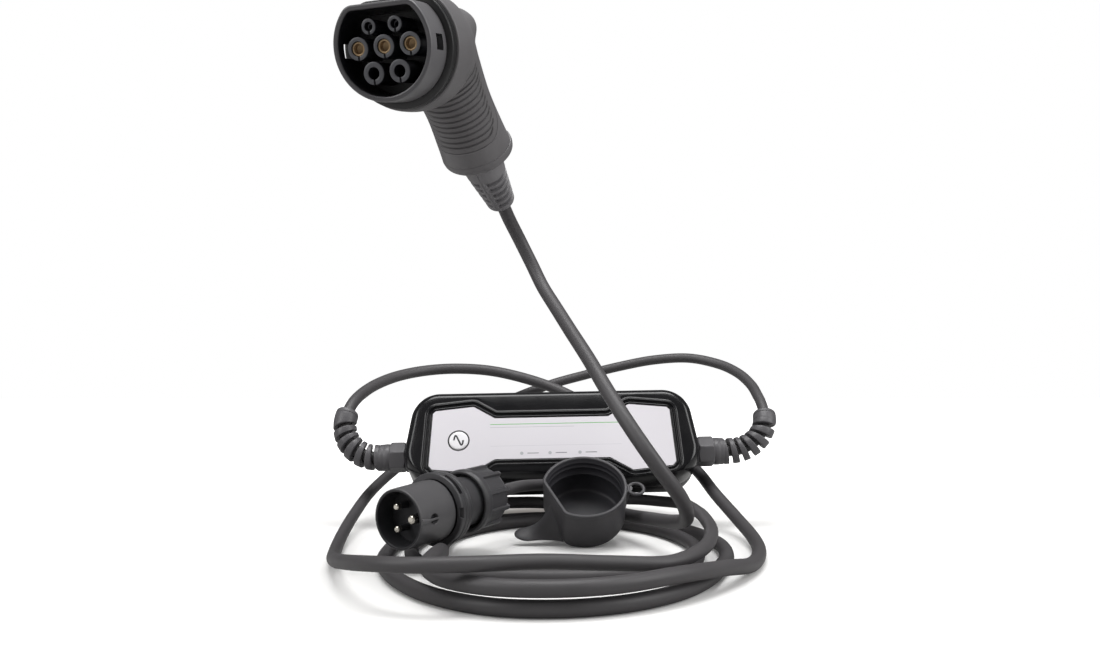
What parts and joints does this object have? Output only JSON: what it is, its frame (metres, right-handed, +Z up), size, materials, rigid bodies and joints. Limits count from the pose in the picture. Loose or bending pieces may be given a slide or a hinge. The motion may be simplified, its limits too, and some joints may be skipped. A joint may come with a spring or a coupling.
{
  "type": "ev charging cable",
  "caption": "Portable charging cable for electric cars: a control box between a round mains plug and a handled vehicle connector, with coiled cable and a loose cap.",
  "frame": {"origin": "centre of the base of the box round all pieces but the two cables, on the surface that the coil and the cap rest on", "axes": "+X to the viewer's right along the control box, +Y away from the viewer, +Z up; the box leans back with its label towards -Y and the connector points towards -Y"},
  "size_m": [0.4071, 0.4521, 0.3797],
  "materials": {
    "box_front": "satin black moulding, glossier bezel",
    "box_back": "satin black moulding",
    "box_seal": "plain",
    "label": "smooth light grey with thin printed rules",
    "button": "smooth off-white",
    "inner_black": "plain",
    "lenses": "smooth, unlit",
    "board": "solder-masked board",
    "components": "plain",
    "steel_screws": "plated",
    "dark_screws": "blackened",
    "glands": "fine-grained moulding",
    "gland_seals": "plain",
    "spiral_guards": "fine-grained moulding",
    "connector_shell": "satin dark grey",
    "contact_carrier": "near-black face with grey collars",
    "contacts": "fine-turned",
    "connector_seal": "smooth black",
    "grip_rubber": "soft-touch dark grey",
    "boot_rubber": "plain moulded",
    "plug_plastic": "near-black moulding",
    "plug_pins": "nickel plated",
    "cap_rubber": "soft dark grey",
    "cable_sheath": "matte charcoal sheath"
  },
  "bodies": {
    "base": {"front_cover": "box_front", "back_cover": "box_back", "cover_seal": "box_seal", "label_plate": "label", "button_switch": "inner_black", "indicator_lenses": "lenses", "circuit_board": "board", "power_relays": "inner_black", "supply_parts": "components", "current_sensor": "inner_black", "board_screws": "steel_screws", "cover_screws": "dark_screws", "gland_body_left": "glands", "gland_body_right": "glands", "gland_locknuts": "glands", "gland_seal_left": "gland_seals", "gland_seal_right": "gland_seals", "spiral_nut_left": "spiral_guards", "spiral_nut_right": "spiral_guards", "connector_sleeve": "connector_shell", "contact_block": "contact_carrier", "power_contacts": "contacts", "control_contacts": "contacts", "sleeve_seal": "connector_seal", "handle_housing": "connector_shell", "grip_insert": "grip_rubber", "grip_end_ring": "connector_shell", "connector_boot": "boot_rubber", "handle_screws": "dark_screws", "plug_shroud": "plug_plastic", "pin_carrier": "plug_plastic", "line_pins": "plug_pins", "earth_pin": "plug_pins", "plug_ring": "plug_plastic", "plug_body": "plug_plastic", "plug_gland_nut": "plug_plastic", "plug_gland_seal": "gland_seals", "connector_cap": "cap_rubber", "gun_cable": "cable_sheath", "plug_cable": "cable_sheath"},
    "button": {"mode_button": "button"}
  },
  "joints": [
    {"name": "mode_button_press", "type": "slide", "parent": "base", "child": "button", "axis": [0, 0.9063, -0.4226], "range_m": [0, 0.0008], "stiffness_N_per_m": 900}
  ]
}
